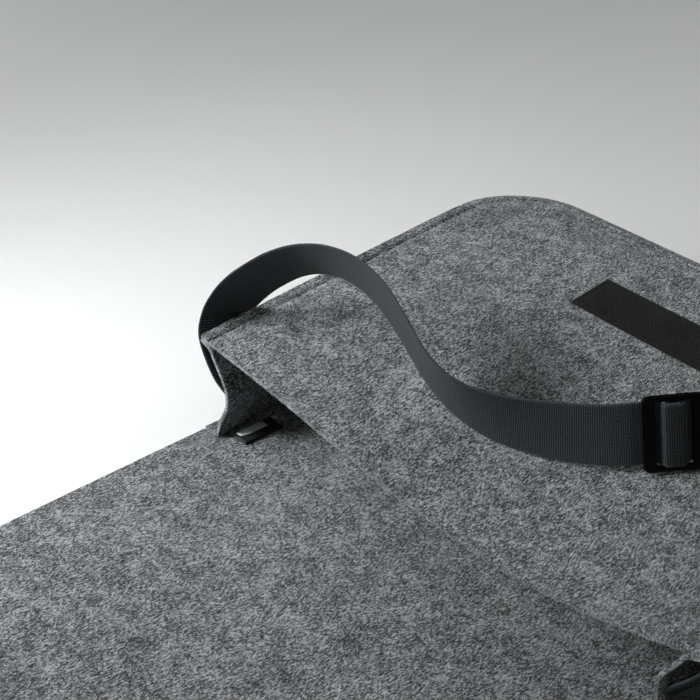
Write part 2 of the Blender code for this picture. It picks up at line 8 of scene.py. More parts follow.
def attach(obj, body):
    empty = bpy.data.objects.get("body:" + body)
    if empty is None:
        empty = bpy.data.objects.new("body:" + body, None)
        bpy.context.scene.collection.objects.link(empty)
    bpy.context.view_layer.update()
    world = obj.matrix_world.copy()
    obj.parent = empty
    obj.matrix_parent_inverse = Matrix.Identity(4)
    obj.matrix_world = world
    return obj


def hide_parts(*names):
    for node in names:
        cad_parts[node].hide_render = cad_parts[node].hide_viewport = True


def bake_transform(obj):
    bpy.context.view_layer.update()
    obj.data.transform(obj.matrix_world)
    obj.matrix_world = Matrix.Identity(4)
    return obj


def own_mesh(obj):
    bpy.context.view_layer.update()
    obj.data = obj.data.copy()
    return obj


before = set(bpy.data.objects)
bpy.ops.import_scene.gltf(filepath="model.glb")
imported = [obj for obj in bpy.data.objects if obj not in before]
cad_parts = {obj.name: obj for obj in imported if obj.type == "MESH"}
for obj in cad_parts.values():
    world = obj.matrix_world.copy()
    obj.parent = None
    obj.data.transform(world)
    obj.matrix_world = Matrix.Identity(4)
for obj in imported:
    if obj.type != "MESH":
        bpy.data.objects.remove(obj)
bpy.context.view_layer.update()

MM = 0.001
FELT = 3.0            # felt thickness
GAP = 0.3             # clearance between separate pieces
LAP = 0.42            # clearance between the two sewn layers of a seam
HALF_W = 190.0        # gusset outer face, each side of centre
HALF_D = 140.0        # mouth and bottom seam, each side of centre
CORNER_R = 50.0       # rounded bottom corners at the seam
LIP = 7.4             # seam allowance outside the stitch line
MOUTH_IN = 0.5        # gusset and front panel stop this far inside the fold line
SPINE = 76.8          # flap's first panel, covers the mouth when closed
COVER = 250.0         # flap's second panel, lies over the front when closed
FLAP_HALF = 199.0
FLAP_R = 42.0         # corners of the flap's free edge
CREASE_LOW, CREASE_RISE = 74.0, 14.5
SAG = 25.5
BOW, BOW_MID, BOW_HALF, BOW_LEN = 15.2, 39.0, 35.0, 75.0
WEB_T, WEB_HALF = 1.4, 19.0
STRIP_HALF_L, STRIP_HALF_W, STRIP_T, STRIP_Y = 62.0, 17.5, 1.7, 70.5
THREAD_R = 0.35
SEWN_LOW, SEWN_TOP = 12.0, 36.0

# slider: origin at the middle of its left edge, heading, width and face directions
SL_O = np.array([72.53, -37.93, 91.82])
SL_H = np.array([0.63717, 0.76571, 0.08777])
SL_W = np.array([0.20677, -0.06012, -0.97654])
SL_H = SL_H / np.linalg.norm(SL_H)
SL_W = SL_W - SL_H * (SL_W @ SL_H)
SL_W = SL_W / np.linalg.norm(SL_W)
SL_N = -np.cross(SL_H, SL_W)
SL_LEN, SL_HALF, SL_T = 35.0, 22.8, 3.6
BAR, SLOT, MID_BAR = 7.5, 8.0, 4.5

# the two free webbing runs, as pairs of points on the upper and the lower edge
LEFT_RUN = (
    ((-188.0, -138.0, 48.1), (-188.8, -101.1, 44.0)),
    ((-200.6, -138.3, 69.5), (-197.8, -100.6, 65.1)),
    ((-203.0, -133.7, 85.7), (-201.8, -98.5, 71.5)),
    ((-199.8, -127.8, 98.7), (-195.0, -95.2, 80.6)),
    ((-193.2, -123.0, 110.3), (-187.8, -91.6, 89.5)),
    ((-184.0, -117.8, 120.6), (-179.6, -87.5, 97.8)),
    ((-168.6, -109.2, 134.2), (-166.1, -81.2, 108.4)),
    ((-150.6, -100.1, 144.1), (-150.8, -76.0, 114.6)),
    ((-129.8, -91.7, 148.5), (-133.8, -72.8, 115.8)),
    ((-107.3, -86.5, 146.6), (-115.6, -71.8, 112.5)),
    ((-84.8, -86.1, 138.8), (-96.8, -73.2, 105.1)),
    ((-63.7, -89.7, 127.3), (-77.6, -76.2, 94.6)),
    ((-43.7, -93.0, 115.6), (-57.4, -79.3, 82.9)),
    ((-24.3, -91.4, 107.1), (-35.6, -79.9, 72.7)),
    ((-5.6, -83.5, 103.1), (-12.4, -76.7, 66.3)),
    ((12.7, -72.2, 102.3), (11.2, -69.9, 64.3)),
    ((31.2, -60.5, 103.7), (34.5, -61.1, 65.8)),
    ((50.1, -49.1, 106.6), (56.5, -51.0, 69.1)),
)
RIGHT_RUN = (
    ((105.3, 21.6, 117.5), (117.0, 20.7, 81.3)),
    ((112.1, 29.9, 119.8), (124.8, 29.2, 83.9)),
    ((120.4, 35.8, 122.9), (133.6, 35.5, 87.2)),
    ((129.8, 38.4, 126.6), (143.3, 38.8, 91.0)),
    ((144.4, 35.0, 132.5), (158.3, 37.1, 97.1)),
    ((157.4, 24.0, 137.1), (171.7, 28.0, 102.1)),
    ((168.1, 8.1, 139.6), (182.8, 14.0, 105.0)),
    ((177.0, -10.9, 139.8), (191.7, -3.0, 105.6)),
    ((184.6, -31.5, 137.8), (198.9, -21.4, 104.1)),
    ((191.6, -52.9, 133.8), (205.1, -40.2, 100.7)),
    ((198.0, -74.4, 127.6), (210.6, -58.4, 95.6)),
    ((203.6, -95.9, 118.3), (215.5, -75.4, 88.6)),
    ((205.8, -109.7, 109.0), (216.4, -85.1, 82.1)),
    ((204.2, -121.1, 95.3), (209.8, -90.8, 73.3)),
    ((201.8, -131.0, 79.4), (202.2, -94.3, 68.0)),
    ((199.8, -135.5, 67.5), (198.0, -97.5, 59.0)),
    ((190.5, -137.0, 53.0), (190.8, -99.2, 46.5)),
)

# ------------------------------------------------------------------ shape rules
def smooth(t):
    t = np.clip(t, 0, 1)
    return t * t * (3 - 2 * t)


def crease_z(y):
    """top of the front panel at its seam line"""
    t = np.clip((y + HALF_D) / 240.0, 0, 1.2)
    return CREASE_LOW + CREASE_RISE * (t - 0.5 * np.maximum(0, t - 0.8) ** 2 / 0.4)


def panel_top(x, y):
    """top of the front panel, sagging towards the middle of the mouth"""
    u = np.clip((x + HALF_W) / (2 * HALF_W), 0, 1)
    v = np.clip((y + HALF_D) / (2 * HALF_D), 0, 1)
    return crease_z(y) - SAG * np.sin(math.pi * u ** 1.4) * (1 - v) ** 1.25


def bow(y, z):
    """how far the gusset's side wall is pushed in, near the mouth"""
    fade = 1 - smooth((y + HALF_D) / BOW_LEN)
    t = np.clip((z - BOW_MID) / BOW_HALF, -1, 1)
    return fade * (BOW * np.cos(math.pi * t / 2) ** 2 + 5 * np.clip(1 - z / 40.0, 0, 1))


def lip_tilt(y, along_bottom):
    """slope of the front seam's lip: up near the mouth, down at the bottom"""
    if along_bottom:
        return math.radians(-12)
    return math.radians(20 - 8 * float(smooth((y + 40) / 110)) - 24 * float(smooth((y - 60) / 80)))


ARC = CORNER_R * math.pi / 2
SIDE = 2 * HALF_D - CORNER_R - MOUTH_IN
BACK = 2 * (HALF_W - CORNER_R)
TOTAL = 2 * SIDE + 2 * ARC + BACK


def seam(s):
    """point and outward direction on the U-shaped seam, s from the left mouth end"""
    if s > TOTAL / 2:
        x, y, nx, ny = seam(TOTAL - s)
        return -x, y, -nx, ny
    if s <= SIDE:
        return -HALF_W, -HALF_D + MOUTH_IN + s, -1.0, 0.0
    if s <= SIDE + ARC:
        a = (s - SIDE) / CORNER_R
        cx, cy = -HALF_W + CORNER_R, HALF_D - CORNER_R
        return cx - CORNER_R * math.cos(a), cy + CORNER_R * math.sin(a), -math.cos(a), math.sin(a)
    return -HALF_W + CORNER_R + (s - SIDE - ARC), HALF_D, 0.0, 1.0


def seam_stations(side_n, arc_n, back_n):
    left = [SIDE * (i / side_n) ** 1.35 for i in range(side_n)]
    arc = [SIDE + ARC * i / arc_n for i in range(arc_n)]
    half = [SIDE + ARC + BACK / 2 * i / back_n for i in range(back_n + 1)]
    first = left + arc + half
    return first + [TOTAL - s for s in reversed(first[:-1])]


def row_half(y):
    if y <= HALF_D - CORNER_R:
        return HALF_W
    d = y - (HALF_D - CORNER_R)
    return HALF_W - CORNER_R + math.sqrt(max(0.0, CORNER_R ** 2 - d * d))


def lip_point(s, t, side):
    """middle of a lip layer, t outward from the seam; side +1 panel above, -1 gusset below"""
    x, y, nx, ny = seam(s)
    along = abs(ny) > 0.5
    a = lip_tilt(y, False) if not along else (1 - (abs(ny) - 0.5) * 2) * lip_tilt(y, False) + (abs(ny) - 0.5) * 2 * lip_tilt(y, True)
    half = (FELT + LAP) / 2
    root = crease_z(y) - FELT - LAP / 2
    na = a / 2 if t < 0.5 else a
    d = t * math.cos(a) - side * half * math.sin(na)
    z = root + t * math.sin(a) + side * half * math.cos(na)
    return (x + nx * d, y + ny * d, z)


def seam_param(x, y):
    """distance along the seam of a boundary point"""
    if y < HALF_D - CORNER_R + 1e-6:
        s = y + HALF_D - MOUTH_IN
        return s if x < 0 else TOTAL - s
    cx = HALF_W - CORNER_R
    if abs(x) > cx - 1e-6:
        a = math.atan2(y - (HALF_D - CORNER_R), abs(x) - cx)
        s = SIDE + CORNER_R * a
        return s if x < 0 else TOTAL - s
    return SIDE + ARC + (x + cx)


def box_loop(hx, hy, nx, ny, r):
    """closed rectangle, as (x, y) offsets"""
    pts = [(-hx + 2 * hx * i / nx, -hy) for i in range(nx)]
    pts += [(hx, -hy + 2 * hy * i / ny) for i in range(ny)]
    pts += [(hx - 2 * hx * i / nx, hy) for i in range(nx)]
    pts += [(-hx, hy - 2 * hy * i / ny) for i in range(ny)]
    return pts


OFF_WEB = FELT / 2 + 0.85 + WEB_T / 2


def gusset_side(y, z, sign, off):
    """point off the outer face of the gusset's side wall, sign -1 left, +1 right"""
    def f(yy, zz):
        return HALF_W - FELT / 2 - float(bow(yy, zz))
    e = 0.5
    n = np.array([1.0, -(f(y + e, z) - f(y - e, z)) / (2 * e), -(f(y, z + e) - f(y, z - e)) / (2 * e)])
    n = n / np.linalg.norm(n)
    p = np.array([f(y, z), y, z]) + n * off
    p[0] *= sign
    return p


def spline(stations, per):
    """smooth path through stations (Catmull-Rom), per steps between neighbours"""
    S = np.array(stations, float)
    out = []
    n = len(S)
    for i in range(n - 1):
        p0, p1, p2, p3 = S[max(i - 1, 0)], S[i], S[i + 1], S[min(i + 2, n - 1)]
        steps = per if isinstance(per, int) else per[i]
        for k in range(steps):
            t = k / steps
            out.append(0.5 * ((2 * p1) + (-p0 + p2) * t + (2 * p0 - 5 * p1 + 4 * p2 - p3) * t * t
                              + (-p0 + 3 * p1 - 3 * p2 + p3) * t ** 3))
    out.append(S[-1])
    return out


def on_slider(h, n):
    c = SL_O + SL_H * h + SL_N * n
    return (c - SL_W * WEB_HALF, c + SL_W * WEB_HALF)


def offset_run(run, off):
    """run of edge pairs moved along its face direction"""
    out = []
    for i, (a, b) in enumerate(run):
        a, b = np.array(a), np.array(b)
        c = (a + b) / 2
        p = (np.array(run[max(i - 1, 0)][0]) + np.array(run[max(i - 1, 0)][1])) / 2
        q = (np.array(run[min(i + 1, len(run) - 1)][0]) + np.array(run[min(i + 1, len(run) - 1)][1])) / 2
        t = (q - p) / np.linalg.norm(q - p)
        w = (b - a) / np.linalg.norm(b - a)
        n = -np.cross(t, w)
        n = n / np.linalg.norm(n)
        out.append((a + n * off, b + n * off))
    return out



KEY, AMBIENT = 1.24, 0.02

# ================================================================== materials
def nodes_of(name):
    m = bpy.data.materials.new(name)
    m.use_nodes = True
    t = m.node_tree
    return m, t, t.nodes["Principled BSDF"]


def put(t, kind, ins=(), **props):
    n = t.nodes.new(kind)
    for k, v in props.items():
        setattr(n, k, v)
    for k, v in dict(ins).items():
        if isinstance(v, bpy.types.NodeSocket):
            t.links.new(v, n.inputs[k])
        else:
            n.inputs[k].default_value = v
    return n


def math_node(t, op, a, b=None, c=None, clamp=False):
    n = t.nodes.new("ShaderNodeMath")
    n.operation = op
    n.use_clamp = clamp
    for i, v in enumerate((a, b, c)):
        if v is None:
            continue
        if isinstance(v, bpy.types.NodeSocket):
            t.links.new(v, n.inputs[i])
        else:
            n.inputs[i].default_value = v
    return n.outputs[0]


def ramp(t, fac, stops):
    n = t.nodes.new("ShaderNodeValToRGB")
    e = n.color_ramp.elements
    while len(e) < len(stops):
        e.new(0.5)
    for el, (p, c) in zip(e, stops):
        el.position = p
        el.color = (c[0], c[1], c[2], 1)
    t.links.new(fac, n.inputs[0])
    return n.outputs[0]


def cool(v):
    return (v * 0.93, v * 1.0, v * 1.02)


def felt_material(name, tone=1.0, contrast=1.0, edge=False):
    """melange felt: matted fibres of three greys, with fine streaks in several directions"""
    m, t, b = nodes_of(name)
    co = put(t, "ShaderNodeTexCoord").outputs["Object"]

    def streak(rot, scale, seed, detail=3.0):
        mp = put(t, "ShaderNodeMapping", {"Vector": co, "Rotation": rot, "Scale": scale, "Location": (seed, seed * 0.7, seed * 1.3)})
        return put(t, "ShaderNodeTexNoise", {"Vector": mp.outputs[0], "Scale": 1.0, "Detail": detail, "Roughness": 0.6,
                                             "Distortion": 0.9}).outputs["Fac"]

    a = streak((0.2, 0.1, 0.6), (1280, 460, 900), 3.1)
    c = streak((-0.1, 0.3, -0.9), (1360, 430, 920), 7.7)
    d = streak((0.3, -0.2, 1.9), (1180, 420, 880), 11.3)
    grain = put(t, "ShaderNodeTexNoise", {"Vector": co, "Scale": 1350.0, "Detail": 2.0, "Roughness": 0.7}).outputs["Fac"]
    blot = put(t, "ShaderNodeTexNoise", {"Vector": co, "Scale": 95.0, "Detail": 4.0, "Roughness": 0.65}).outputs["Fac"]
    wide = put(t, "ShaderNodeTexNoise", {"Vector": co, "Scale": 24.0, "Detail": 2.0}).outputs["Fac"]
    s = math_node(t, "MULTIPLY", a, 0.27)
    for v, k in ((c, 0.27), (d, 0.2), (grain, 0.22), (blot, 0.11), (wide, 0.025)):
        s = math_node(t, "MULTIPLY_ADD", v, k, s)
    # the sum sits near 0.53 with a small spread: open it up
    s = math_node(t, "SUBTRACT", s, 0.552)
    s = math_node(t, "MULTIPLY_ADD", s, 12.0 * contrast, 0.5, clamp=True)
    col = ramp(t, s, [(0.0, cool(0.022 * tone)), (0.3, cool(0.092 * tone)), (0.52, cool(0.20 * tone)),
                      (0.76, cool(0.35 * tone)), (1.0, cool(0.66 * tone))])
    # a few long pale and dark hairs lying on top
    hair = streak((0.0, 0.1, 0.25), (2600, 210, 900), 21.0, 1.0)
    hair2 = streak((0.1, 0.0, -1.3), (2600, 220, 900), 33.0, 1.0)
    h1 = math_node(t, "GREATER_THAN", hair, 0.69)
    h2 = math_node(t, "GREATER_THAN", hair2, 0.70)
    mix = put(t, "ShaderNodeMix", data_type='RGBA')
    t.links.new(math_node(t, "MULTIPLY", h1, 0.55), mix.inputs[0])
    t.links.new(col, mix.inputs[6])
    mix.inputs[7].default_value = (*cool(0.42 * tone), 1)
    mix2 = put(t, "ShaderNodeMix", data_type='RGBA')
    t.links.new(math_node(t, "MULTIPLY", h2, 0.6), mix2.inputs[0])
    t.links.new(mix.outputs[2], mix2.inputs[6])
    mix2.inputs[7].default_value = (*cool(0.05 * tone), 1)
    t.links.new(mix2.outputs[2], b.inputs["Base Color"])
    height = math_node(t, "MULTIPLY_ADD", grain, 0.5, s)
    bump = put(t, "ShaderNodeBump", {"Height": height, "Strength": 0.65, "Distance": 0.00045})
    t.links.new(bump.outputs[0], b.inputs["Normal"])
    rough = math_node(t, "MULTIPLY_ADD", grain, 0.12, 0.86)
    t.links.new(rough, b.inputs["Roughness"])
    b.inputs["Specular IOR Level"].default_value = 0.15
    b.inputs["Sheen Weight"].default_value = 0.18
    b.inputs["Sheen Roughness"].default_value = 0.6
    b.inputs["Sheen Tint"].default_value = (0.8, 0.83, 0.86, 1)
    return m


def webbing_material(name, dark, light, rib=0.00132, row=0.00105, depth=0.00022):
    """plain-woven webbing: ribs straight across, made of rows of yarn along the strap, with a tighter edge"""
    m, t, b = nodes_of(name)
    uv = put(t, "ShaderNodeUVMap", uv_map="weave").outputs[0]
    sep = put(t, "ShaderNodeSeparateXYZ", {0: uv})
    u, v = sep.outputs[0], sep.outputs[1]
    wob = put(t, "ShaderNodeTexNoise", {"Vector": uv, "Scale": 260.0, "Detail": 2.0}).outputs["Fac"]
    u2 = math_node(t, "MULTIPLY_ADD", math_node(t, "SUBTRACT", wob, 0.5), 0.00035, u)
    ru = math_node(t, "ABSOLUTE", math_node(t, "SINE", math_node(t, "MULTIPLY", u2, math.pi / rib)))
    odd = math_node(t, "MODULO", math_node(t, "FLOOR", math_node(t, "DIVIDE", math_node(t, "ADD", v, 1.0), row)), 2.0)
    u3 = math_node(t, "MULTIPLY_ADD", odd, rib / 2, u2)
    rv = math_node(t, "ABSOLUTE", math_node(t, "SINE", math_node(t, "MULTIPLY", u3, math.pi / rib)))
    rw = math_node(t, "ABSOLUTE", math_node(t, "SINE", math_node(t, "MULTIPLY", v, math.pi / row)))
    h = math_node(t, "MULTIPLY", ru, 0.62)
    h = math_node(t, "MULTIPLY_ADD", math_node(t, "MULTIPLY", rv, rw), 0.38, h)
    edge = math_node(t, "GREATER_THAN", math_node(t, "ABSOLUTE", v), 0.0176)
    h = math_node(t, "MULTIPLY_ADD", edge, 0.15, h)
    var = put(t, "ShaderNodeTexNoise", {"Vector": uv, "Scale": 900.0, "Detail": 3.0, "Roughness": 0.7}).outputs["Fac"]
    wide = put(t, "ShaderNodeTexNoise", {"Vector": uv, "Scale": 60.0, "Detail": 2.0}).outputs["Fac"]
    f = math_node(t, "MULTIPLY_ADD", var, 1.7, math_node(t, "MULTIPLY_ADD", h, 1.6, -1.50))
    f = math_node(t, "MULTIPLY_ADD", wide, 0.12, f, clamp=True)
    t.links.new(ramp(t, f, [(k, (v * 0.83, v, v * 1.13)) for k, v in ((0.0, dark), (0.55, (dark + light) / 2), (1.0, light))]), b.inputs["Base Color"])
    bump = put(t, "ShaderNodeBump", {"Height": math_node(t, "MULTIPLY_ADD", var, 0.25, h), "Strength": 0.8, "Distance": depth})
    t.links.new(bump.outputs[0], b.inputs["Normal"])
    t.links.new(math_node(t, "MULTIPLY_ADD", var, 0.2, 0.55), b.inputs["Roughness"])
    b.inputs["Specular IOR Level"].default_value = 0.3
    b.inputs["Sheen Weight"].default_value = 0.12
    b.inputs["Sheen Roughness"].default_value = 0.4
    return m


def yarn_material(name, dark, light, rough=0.6, scale=1400.0):
    m, t, b = nodes_of(name)
    co = put(t, "ShaderNodeTexCoord").outputs["Object"]
    n1 = put(t, "ShaderNodeTexNoise", {"Vector": co, "Scale": scale, "Detail": 4.0, "Roughness": 0.7}).outputs["Fac"]
    n2 = put(t, "ShaderNodeTexNoise", {"Vector": co, "Scale": scale / 12, "Detail": 2.0}).outputs["Fac"]
    f = math_node(t, "MULTIPLY_ADD", n2, 0.4, math_node(t, "MULTIPLY", n1, 0.7), clamp=True)
    t.links.new(ramp(t, f, [(0.25, cool(dark)), (0.8, cool(light))]), b.inputs["Base Color"])
    bump = put(t, "ShaderNodeBump", {"Height": n1, "Strength": 0.5, "Distance": 0.0001})
    t.links.new(bump.outputs[0], b.inputs["Normal"])
    t.links.new(math_node(t, "MULTIPLY_ADD", n1, 0.2, rough - 0.1), b.inputs["Roughness"])
    b.inputs["Specular IOR Level"].default_value = 0.3
    return m


def plastic_material(name):
    """moulded plastic: fine spark-eroded grain, with broad patches a little lighter and rougher"""
    m, t, b = nodes_of(name)
    co = put(t, "ShaderNodeTexCoord").outputs["Object"]
    n1 = put(t, "ShaderNodeTexNoise", {"Vector": co, "Scale": 2600.0, "Detail": 3.0, "Roughness": 0.6}).outputs["Fac"]
    n2 = put(t, "ShaderNodeTexNoise", {"Vector": co, "Scale": 90.0, "Detail": 3.0}).outputs["Fac"]
    t.links.new(ramp(t, n2, [(0.3, (0.0004, 0.0004, 0.0005)), (0.75, (0.0010, 0.0010, 0.0012))]), b.inputs["Base Color"])
    bump = put(t, "ShaderNodeBump", {"Height": n1, "Strength": 0.25, "Distance": 0.00006})
    t.links.new(bump.outputs[0], b.inputs["Normal"])
    t.links.new(math_node(t, "MULTIPLY_ADD", n2, 0.16, 0.30), b.inputs["Roughness"])
    b.inputs["Specular IOR Level"].default_value = 0.16
    return m


FELT_MAT = felt_material("felt_melange", 0.85)
WEB_MAT = webbing_material("webbing_weave", 0.0018, 0.095, depth=0.00028)
HOOK_BASE = webbing_material("hook_tape_ground", 0.001, 0.006, 0.0016, 0.0016, 0.0001)
HOOK_MAT = yarn_material("hook_filament", 0.004, 0.075, 0.4, 420)
LOOP_MAT = yarn_material("loop_pile", 0.008, 0.028, 0.85, 900)
THREAD_MAT = yarn_material("thread_grey", 0.050, 0.13, 0.7)
BLACK_THREAD = yarn_material("thread_black", 0.008, 0.024, 0.6)
PLASTIC = plastic_material("moulded_plastic")
LABEL_MAT = webbing_material("label_tape_weave", 0.008, 0.022, 0.0005, 0.0005, 0.00004)
PATCH_MAT = yarn_material("label_patch", 0.66, 0.80, 0.5, 2200)


# ================================================================== mesh tools
def add_object(name, V, F, mat, uv=None, flat=False):
    me = bpy.data.meshes.new(name)
    me.from_pydata([tuple(float(c) * MM for c in p) for p in V], [], [tuple(int(i) for i in f) for f in F])
    me.validate()
    if uv is not None:
        lay = me.uv_layers.new(name="weave")
        idx = np.zeros(len(me.loops), int)
        me.loops.foreach_get("vertex_index", idx)
        lay.data.foreach_set("uv", (np.asarray(uv, float)[idx] * MM).ravel().astype(np.float32))
    me.materials.append(mat)
    ob = bpy.data.objects.new(name, me)
    bpy.context.scene.collection.objects.link(ob)
    me.polygons.foreach_set("use_smooth", [not flat] * len(me.polygons))
    return ob


def tidy(ob):
    bm = bmesh.new()
    bm.from_mesh(ob.data)
    bmesh.ops.remove_doubles(bm, verts=bm.verts, dist=0.00002)
    bmesh.ops.recalc_face_normals(bm, faces=bm.faces)
    bm.to_mesh(ob.data)
    bm.free()
    return ob


def bake(ob):
    """apply the modifiers"""
    dg = bpy.context.evaluated_depsgraph_get()
    me = bpy.data.meshes.new_from_object(ob.evaluated_get(dg), preserve_all_data_layers=True, depsgraph=dg)
    ob.modifiers.clear()
    ob.data = me
    return ob


def grid_faces(n, m, closed_m=False):
    F = []
    for i in range(n - 1):
        for j in range(m - (0 if closed_m else 1)):
            k = (j + 1) % m
            F.append((i * m + j, i * m + k, (i + 1) * m + k, (i + 1) * m + j))
    return F


def thick(ob, t, edge=0.7, segments=3):
    """felt thickness with softly rounded cut edges"""
    s = ob.modifiers.new("thickness", 'SOLIDIFY')
    s.thickness = t * MM
    s.offset = 0.0
    s.use_even_offset = True
    s.use_rim = True
    if edge:
        b = ob.modifiers.new("cut_edge", 'BEVEL')
        b.width = edge * MM
        b.segments = segments
        b.limit_method = 'ANGLE'
        b.angle_limit = math.radians(58)
        b.use_clamp_overlap = True
    bake(ob)
    ob.data.polygons.foreach_set("use_smooth", [True] * len(ob.data.polygons))
    return ob


def wobble(p, size, amp, seed=0.0):
    """slow unevenness, 0 to amp"""
    return amp * (0.5 + 0.5 * noise.noise(Vector((p[0] / size + seed, p[1] / size - seed, p[2] / size))))


def stitches(name, path, ups, mat, pitch=3.9, length=3.1, r=0.33, closed=False, lift=0.0):
    """a row of separate stitches, each dipping into the cloth at its ends"""
    P, U = np.array(path, float), np.array(ups, float)
    if closed:
        P, U = np.vstack([P, P[:1]]), np.vstack([U, U[:1]])
    L = np.concatenate([[0], np.cumsum(np.linalg.norm(np.diff(P, axis=0), axis=1))])
    count = max(1, int(L[-1] / pitch))
    V, F = [], []
    prof = [(-0.5, -0.42, 0.55), (-0.34, 0.0, 0.95), (0.0, 0.12, 1.0), (0.34, 0.0, 0.95), (0.5, -0.42, 0.55)]
    for i in range(count):
        s0 = (i + 0.5) * L[-1] / count
        rings = []
        for a, dz, rr in prof:
            s = np.clip(s0 + a * length, 0, L[-1])
            p = np.array([np.interp(s, L, P[:, k]) for k in range(3)])
            u = np.array([np.interp(s, L, U[:, k]) for k in range(3)])
            q = np.array([np.interp(min(s + 0.3, L[-1]), L, P[:, k]) - np.interp(max(s - 0.3, 0), L, P[:, k]) for k in range(3)])
            u, q = u / np.linalg.norm(u), q / np.linalg.norm(q)
            w = np.cross(q, u)
            w = w / np.linalg.norm(w)
            c = p + u * (dz + lift)
            rings.append([c + r * rr * (w * math.cos(k * math.pi / 3) + u * math.sin(k * math.pi / 3)) for k in range(6)])
        base = len(V)
        for ring in rings:
            V += ring
        for a in range(len(rings) - 1):
            for k in range(6):
                F.append((base + a * 6 + k, base + a * 6 + (k + 1) % 6, base + (a + 1) * 6 + (k + 1) % 6, base + (a + 1) * 6 + k))
        F.append(tuple(base + k for k in reversed(range(6))))
        F.append(tuple(base + (len(rings) - 1) * 6 + k for k in range(6)))
    return add_object(name, V, F, mat)


# ================================================================== camera, floor and light
scene = bpy.context.scene
scene.unit_settings.system = 'METRIC'
cam = bpy.data.objects.new("camera", bpy.data.cameras.new("camera"))
scene.collection.objects.link(cam)
scene.camera = cam
cam.data.sensor_width = 36.0
cam.data.lens = 1733.1 * 36.0 / 700.0
cam.data.clip_start, cam.data.clip_end = 0.02, 60
cam.location = (0.5531, -0.6838, 0.6419)
aim = Vector((-0.11603, -0.08672, 0.080)) - Vector(cam.location)
cam.rotation_mode = 'QUATERNION'
cam.rotation_quaternion = aim.to_track_quat('-Z', 'Y')

floor_mat, t, b = nodes_of("pale_floor")
co = put(t, "ShaderNodeTexCoord").outputs["Object"]
fn = put(t, "ShaderNodeTexNoise", {"Vector": co, "Scale": 3.0, "Detail": 3.0}).outputs["Fac"]
t.links.new(ramp(t, fn, [(0.3, (0.80, 0.81, 0.82)), (0.7, (0.83, 0.84, 0.845))]), b.inputs["Base Color"])
b.inputs["Roughness"].default_value = 0.6
b.inputs["Specular IOR Level"].default_value = 0.2
bm = bmesh.new()
bmesh.ops.create_grid(bm, x_segments=8, y_segments=8, size=9.0)
me = bpy.data.meshes.new("floor")
bm.to_mesh(me)
bm.free()
me.materials.append(floor_mat)
floor = bpy.data.objects.new("floor", me)
floor.location = (0, 0, -0.0003)
scene.collection.objects.link(floor)


def area(name, loc, aim_at, size, energy, colour=(1, 1, 1)):
    d = bpy.data.lights.new(name, 'AREA')
    d.shape = 'RECTANGLE'
    d.size, d.size_y = size
    d.energy = energy
    d.color = colour
    o = bpy.data.objects.new(name, d)
    o.location = loc
    o.rotation_mode = 'QUATERNION'
    o.rotation_quaternion = (Vector(aim_at) - Vector(loc)).to_track_quat('-Z', 'Y')
    scene.collection.objects.link(o)
    return o


area("key", (-0.60, -0.86, 0.58), (-0.27, -0.17, 0.03), (0.35, 0.25), KEY).data.spread = math.radians(56)
area("far_left", (-1.5, -1.35, 1.1), (-0.1, -0.05, 0.0), (1.2, 0.8), 29.0)
area("top", (-0.1, 0.2, 2.0), (-0.1, 0.0, 0.0), (2.2, 2.2), 6.5)
area("front", (0.9, -1.8, 1.2), (0.0, -0.1, 0.0), (1.4, 0.8), 3.5)
area("back", (0.5, 1.2, 0.9), (0.0, 0.0, 0.0), (1.0, 0.6), 4.0)
world = bpy.data.worlds.new("studio")
world.use_nodes = True
world.node_tree.nodes["Background"].inputs[0].default_value = (0.95, 0.98, 1.0, 1)
world.node_tree.nodes["Background"].inputs[1].default_value = AMBIENT
scene.world = world
scene.view_settings.view_transform = 'Standard'
scene.view_settings.look = 'None'

# ================================================================== felt sheet: back panel, spine and cover
Y_END = HALF_D + FLAP_HALF - HALF_W
Y_FAR = -HALF_D - SPINE - COVER
Y_CUT = -HALF_D - SPINE / 2


def sheet_half(y):
    r = CORNER_R + FLAP_HALF - HALF_W
    yc = Y_END - r
    if y > yc:
        return FLAP_HALF - r + math.sqrt(max(0.0, r * r - (y - yc) ** 2))
    yc = Y_FAR + FLAP_R
    if y < yc:
        return FLAP_HALF - FLAP_R + math.sqrt(max(0.0, FLAP_R ** 2 - (y - yc) ** 2))
    return FLAP_HALF


def arc_ys(y0, y1, r, at_end):
    """stations crowding towards a rounded end"""
    n = 12
    a = [math.sin(math.pi / 2 * i / n) for i in range(n + 1)]
    return [y0 + (y1 - y0) * k for k in a] if at_end else [y0 + (y1 - y0) * (1 - k) for k in reversed(a)]


def felt_sheet(name, ys, across=64):
    V = []
    for y in ys:
        h = sheet_half(y)
        for k in range(across + 1):
            u = -1 + 2 * k / across
            u = u * (1.25 - 0.25 * u * u)
            x = u * h
            p = (x, y, 0)
            e = 0.12 * noise.noise(Vector((y / 9.0, 3.0 if u > 0 else 8.0, 0.2))) if abs(u) > 0.999 else 0.0
            V.append((x + e, y, FELT / 2 + 0.05 + wobble(p, 46, 0.5) * 0.7 + wobble(p, 13, 0.22, 5.0)))
    n, m = len(ys), across + 1
    return thick(tidy(add_object(name, V, grid_faces(n, m), FELT_MAT)), FELT - 0.1, 0.6, 3)


